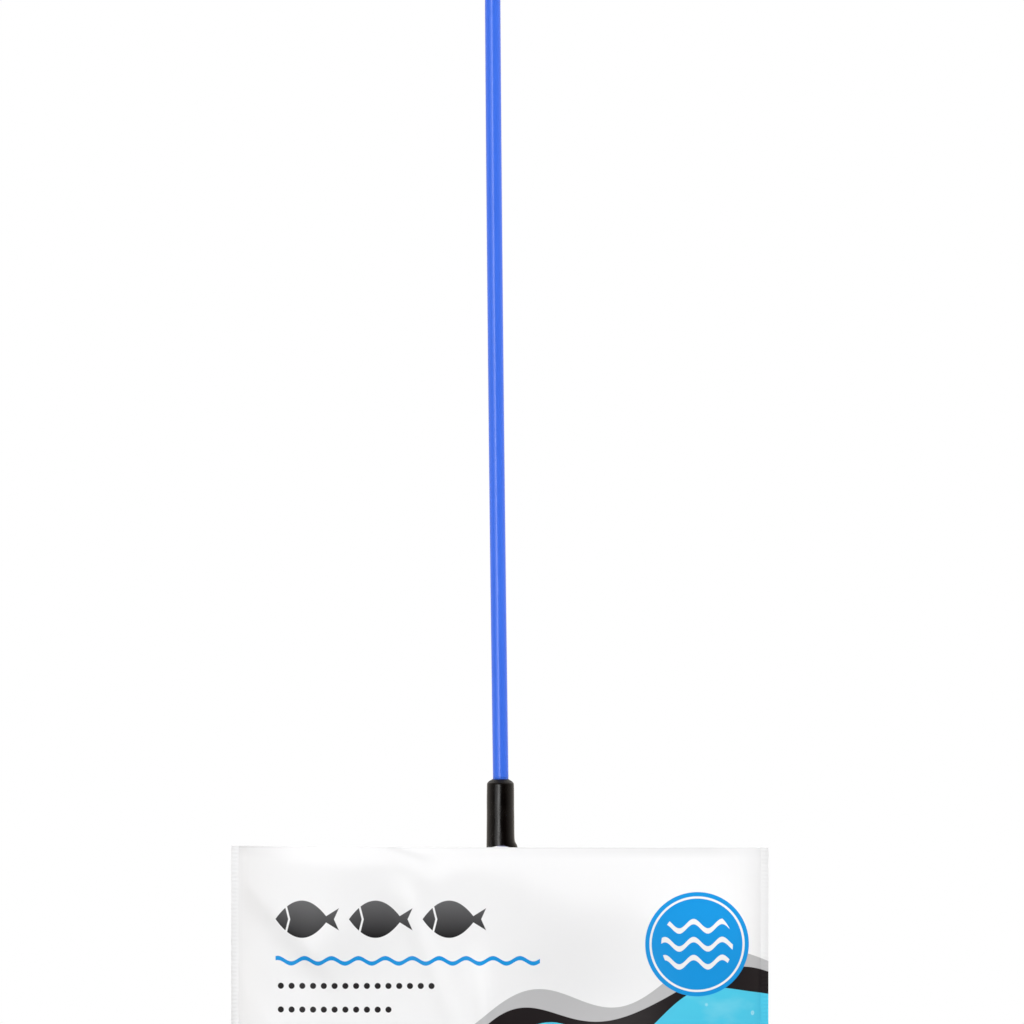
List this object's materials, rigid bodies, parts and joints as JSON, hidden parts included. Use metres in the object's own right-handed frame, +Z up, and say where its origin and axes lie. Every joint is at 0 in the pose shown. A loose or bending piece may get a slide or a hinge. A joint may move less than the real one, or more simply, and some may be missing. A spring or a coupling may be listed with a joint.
{
  "type": "aquarium fish net",
  "caption": "Aquarium fish net with a coated wire handle, hanging eye, black neck sleeve and wire hoop, its mesh pouch lying in a slide-off retail bag.",
  "frame": {"origin": "centre of the hanging eye at the top of the handle", "axes": "+Z up, away from the net along the bag's length; +X to the right in the picture; -Y out of the bag's printed face"},
  "size_m": [0.15, 0.0109, 0.4712],
  "materials": {
    "blue_coating": "smooth PVC",
    "black_vinyl": "satin vinyl",
    "steel_wire": "drawn wire",
    "net_nylon": "fine nylon mesh",
    "hem_nylon": "woven tape",
    "sewing_thread": "twisted thread",
    "white_film": "printed film",
    "clear_film": "clear film"
  },
  "bodies": {
    "net": {"handle_core": "steel_wire", "handle_coating": "blue_coating", "loop_end_cap": "black_vinyl", "neck_ferrule": "steel_wire", "neck_sleeve": "black_vinyl", "hoop_core": "steel_wire", "hoop_coating": "blue_coating", "hem_tape": "hem_nylon", "hem_stitching": "sewing_thread", "mesh_back_panel": "net_nylon", "mesh_front_panel": "net_nylon", "seam_tape": "hem_nylon", "seam_stitching": "sewing_thread"},
    "bag": {"bag_front_film": "white_film", "bag_back_film": "clear_film", "bag_left_seal": "white_film", "bag_right_seal": "white_film", "bag_bottom_seal": "white_film"}
  },
  "joints": [
    {"name": "bag_slide", "type": "slide", "parent": "net", "child": "bag", "axis": [0, 0, -1], "range_m": [0, 0.19]}
  ]
}
